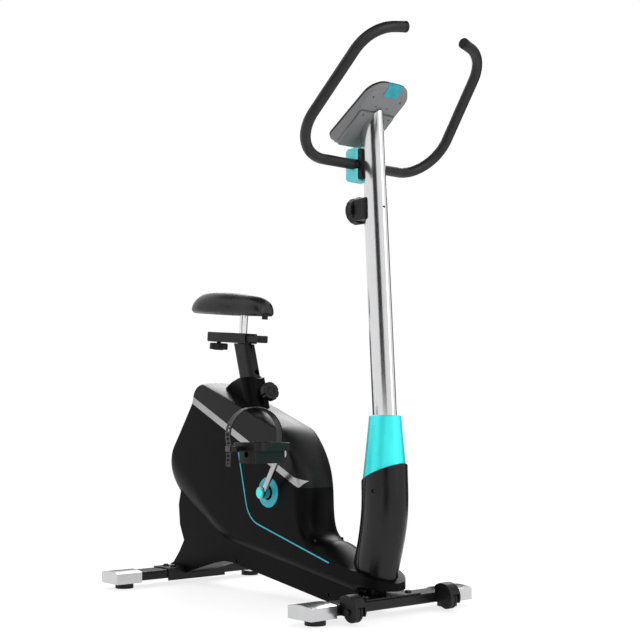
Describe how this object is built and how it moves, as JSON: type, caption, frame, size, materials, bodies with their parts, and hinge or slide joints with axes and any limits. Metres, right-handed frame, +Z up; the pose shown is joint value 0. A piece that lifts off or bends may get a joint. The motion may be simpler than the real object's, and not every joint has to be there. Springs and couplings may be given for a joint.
{
  "type": "exercise bike",
  "caption": "Upright exercise bike with belt drive, magnetic resistance, strapped pedals, oval post, looped handlebar, tilted console and sliding padded saddle",
  "frame": {"origin": "on the floor under the middle of the bike's box", "axes": "X forward, Y to the rider's left, Z up"},
  "size_m": [1.0077, 0.52, 1.3419],
  "materials": {
    "frame_steel": "satin black paint",
    "post_silver": "polished silver lacquer",
    "shell_black": "fine satin moulding",
    "hood_black": "semi-gloss moulding",
    "cap_silver": "silver coated moulding",
    "trim_chrome": "bright chrome",
    "teal": "teal moulding",
    "rubber_black": "matte rubber",
    "grip_foam": "fine foam",
    "crank_chrome": "polished chrome",
    "steel": "turned steel",
    "flywheel_iron": "machined rim",
    "console_grey": "fine texture",
    "console_black": "gloss bezel",
    "display": "smoked window",
    "plastic_black": "textured moulding",
    "seat_cover": "fine grain cover",
    "strap": "matte strap"
  },
  "bodies": {
    "frame": {"main_frame": "frame_steel", "front_stabiliser": "frame_steel", "rear_stabiliser": "frame_steel", "idler_bracket": "frame_steel", "front_post": "post_silver", "front_caps": "cap_silver", "rear_caps": "cap_silver", "rubber_feet": "rubber_black", "dome_nuts": "steel", "housing_right": "shell_black", "housing_left": "shell_black", "boot_right": "shell_black", "boot_left": "shell_black", "seat_sleeve": "shell_black", "hood_right": "hood_black", "hood_left": "hood_black", "trim_strips": "trim_chrome", "accent_lines": "teal", "crank_rings": "teal", "post_collar": "teal", "clamp_cover": "teal", "console_tab": "teal", "handlebar": "steel", "bar_grips": "grip_foam", "bar_end_plugs": "plastic_black", "bar_clamp": "plastic_black", "tension_base": "plastic_black", "console_front": "console_black", "display_lens": "display", "console_back": "console_grey", "axle_bearings": "steel", "belt": "rubber_black", "wheel_brackets": "plastic_black", "wheel_bolts": "steel"},
    "crank_set": {"crank_axle": "steel", "crank_arm_right": "crank_chrome", "crank_arm_left": "crank_chrome", "crank_caps": "teal", "drive_pulley": "plastic_black"},
    "pedal_right": {"pedal_right": "plastic_black", "strap_right": "strap"},
    "pedal_left": {"pedal_left": "plastic_black", "strap_left": "strap"},
    "flywheel": {"flywheel_disc": "flywheel_iron", "flywheel_axle": "steel"},
    "idler": {"idler_wheel": "plastic_black"},
    "magnet": {"magnet_bracket": "steel"},
    "seat_post": {"seat_post": "frame_steel"},
    "saddle": {"slide_channel": "frame_steel", "saddle_stem": "crank_chrome", "saddle_pan": "plastic_black", "saddle_cushion": "seat_cover"},
    "seat_knob": {"seat_knob": "plastic_black"},
    "slider_knob": {"slider_knob": "plastic_black"},
    "tension_knob": {"tension_knob": "plastic_black"},
    "wheel_right": {"transport_wheel_right": "rubber_black"},
    "wheel_left": {"transport_wheel_left": "rubber_black"},
    "key_right": {"button_right": "plastic_black"},
    "key_left": {"button_left": "plastic_black"}
  },
  "joints": [
    {"name": "flywheel_spin", "type": "hinge", "parent": "frame", "child": "flywheel", "pos_m": [-0.27, 0, 0.31], "axis": [0, 1, 0], "continuous": true},
    {"name": "crank_spin", "type": "hinge", "parent": "frame", "child": "crank_set", "pos_m": [-0.038, 0, 0.267], "axis": [0, 1, 0], "continuous": true},
    {"name": "idler_spin", "type": "hinge", "parent": "frame", "child": "idler", "pos_m": [-0.18587, 0, 0.22662], "axis": [0, 1, 0], "continuous": true},
    {"name": "pedal_right_spin", "type": "hinge", "parent": "crank_set", "child": "pedal_right", "pos_m": [0.07347, -0.168, 0.36737], "axis": [0, 1, 0], "continuous": true},
    {"name": "pedal_left_spin", "type": "hinge", "parent": "crank_set", "child": "pedal_left", "pos_m": [-0.14947, 0.168, 0.16663], "axis": [0, 1, 0], "continuous": true},
    {"name": "seat_post_slide", "type": "slide", "parent": "frame", "child": "seat_post", "axis": [-0.2823, 0, 0.9593], "range_m": [-0.05, 0.12]},
    {"name": "saddle_slide", "type": "slide", "parent": "seat_post", "child": "saddle", "axis": [0.9968, 0, -0.0797], "range_m": [-0.03, 0.04]},
    {"name": "seat_knob_turn", "type": "hinge", "parent": "frame", "child": "seat_knob", "pos_m": [-0.11748, 0, 0.5191], "axis": [0.9593, 0, 0.2823], "range_deg": [0, 360]},
    {"name": "slider_knob_turn", "type": "hinge", "parent": "saddle", "child": "slider_knob", "pos_m": [-0.33149, 0, 0.65776], "axis": [0.0797, 0, 0.9968], "range_deg": [0, 360]},
    {"name": "tension_knob_turn", "type": "hinge", "parent": "frame", "child": "tension_knob", "pos_m": [0.24, 0, 0.954], "axis": [-1, 0, 0], "range_deg": [0, 300]},
    {"name": "magnet_swing", "type": "hinge", "parent": "frame", "child": "magnet", "pos_m": [-0.20194, 0, 0.424], "axis": [0, 1, 0], "range_deg": [-6, 0]},
    {"name": "wheel_right_spin", "type": "hinge", "parent": "frame", "child": "wheel_right", "pos_m": [0.375, -0.152, 0.029], "axis": [0, 1, 0], "continuous": true},
    {"name": "wheel_left_spin", "type": "hinge", "parent": "frame", "child": "wheel_left", "pos_m": [0.375, 0.152, 0.029], "axis": [0, 1, 0], "continuous": true},
    {"name": "key_right_press", "type": "slide", "parent": "frame", "child": "key_right", "axis": [0.5373, 0, -0.8434], "range_m": [0, 0.0015], "stiffness_N_per_m": 600},
    {"name": "key_left_press", "type": "slide", "parent": "frame", "child": "key_left", "axis": [0.5373, 0, -0.8434], "range_m": [0, 0.0015], "stiffness_N_per_m": 600}
  ],
  "couplings": [
    {"joint": "crank_spin", "follows": "flywheel_spin", "ratio": 0.2},
    {"joint": "idler_spin", "follows": "flywheel_spin", "ratio": -1.0625},
    {"joint": "magnet_swing", "follows": "tension_knob_turn", "ratio": -0.02}
  ]
}
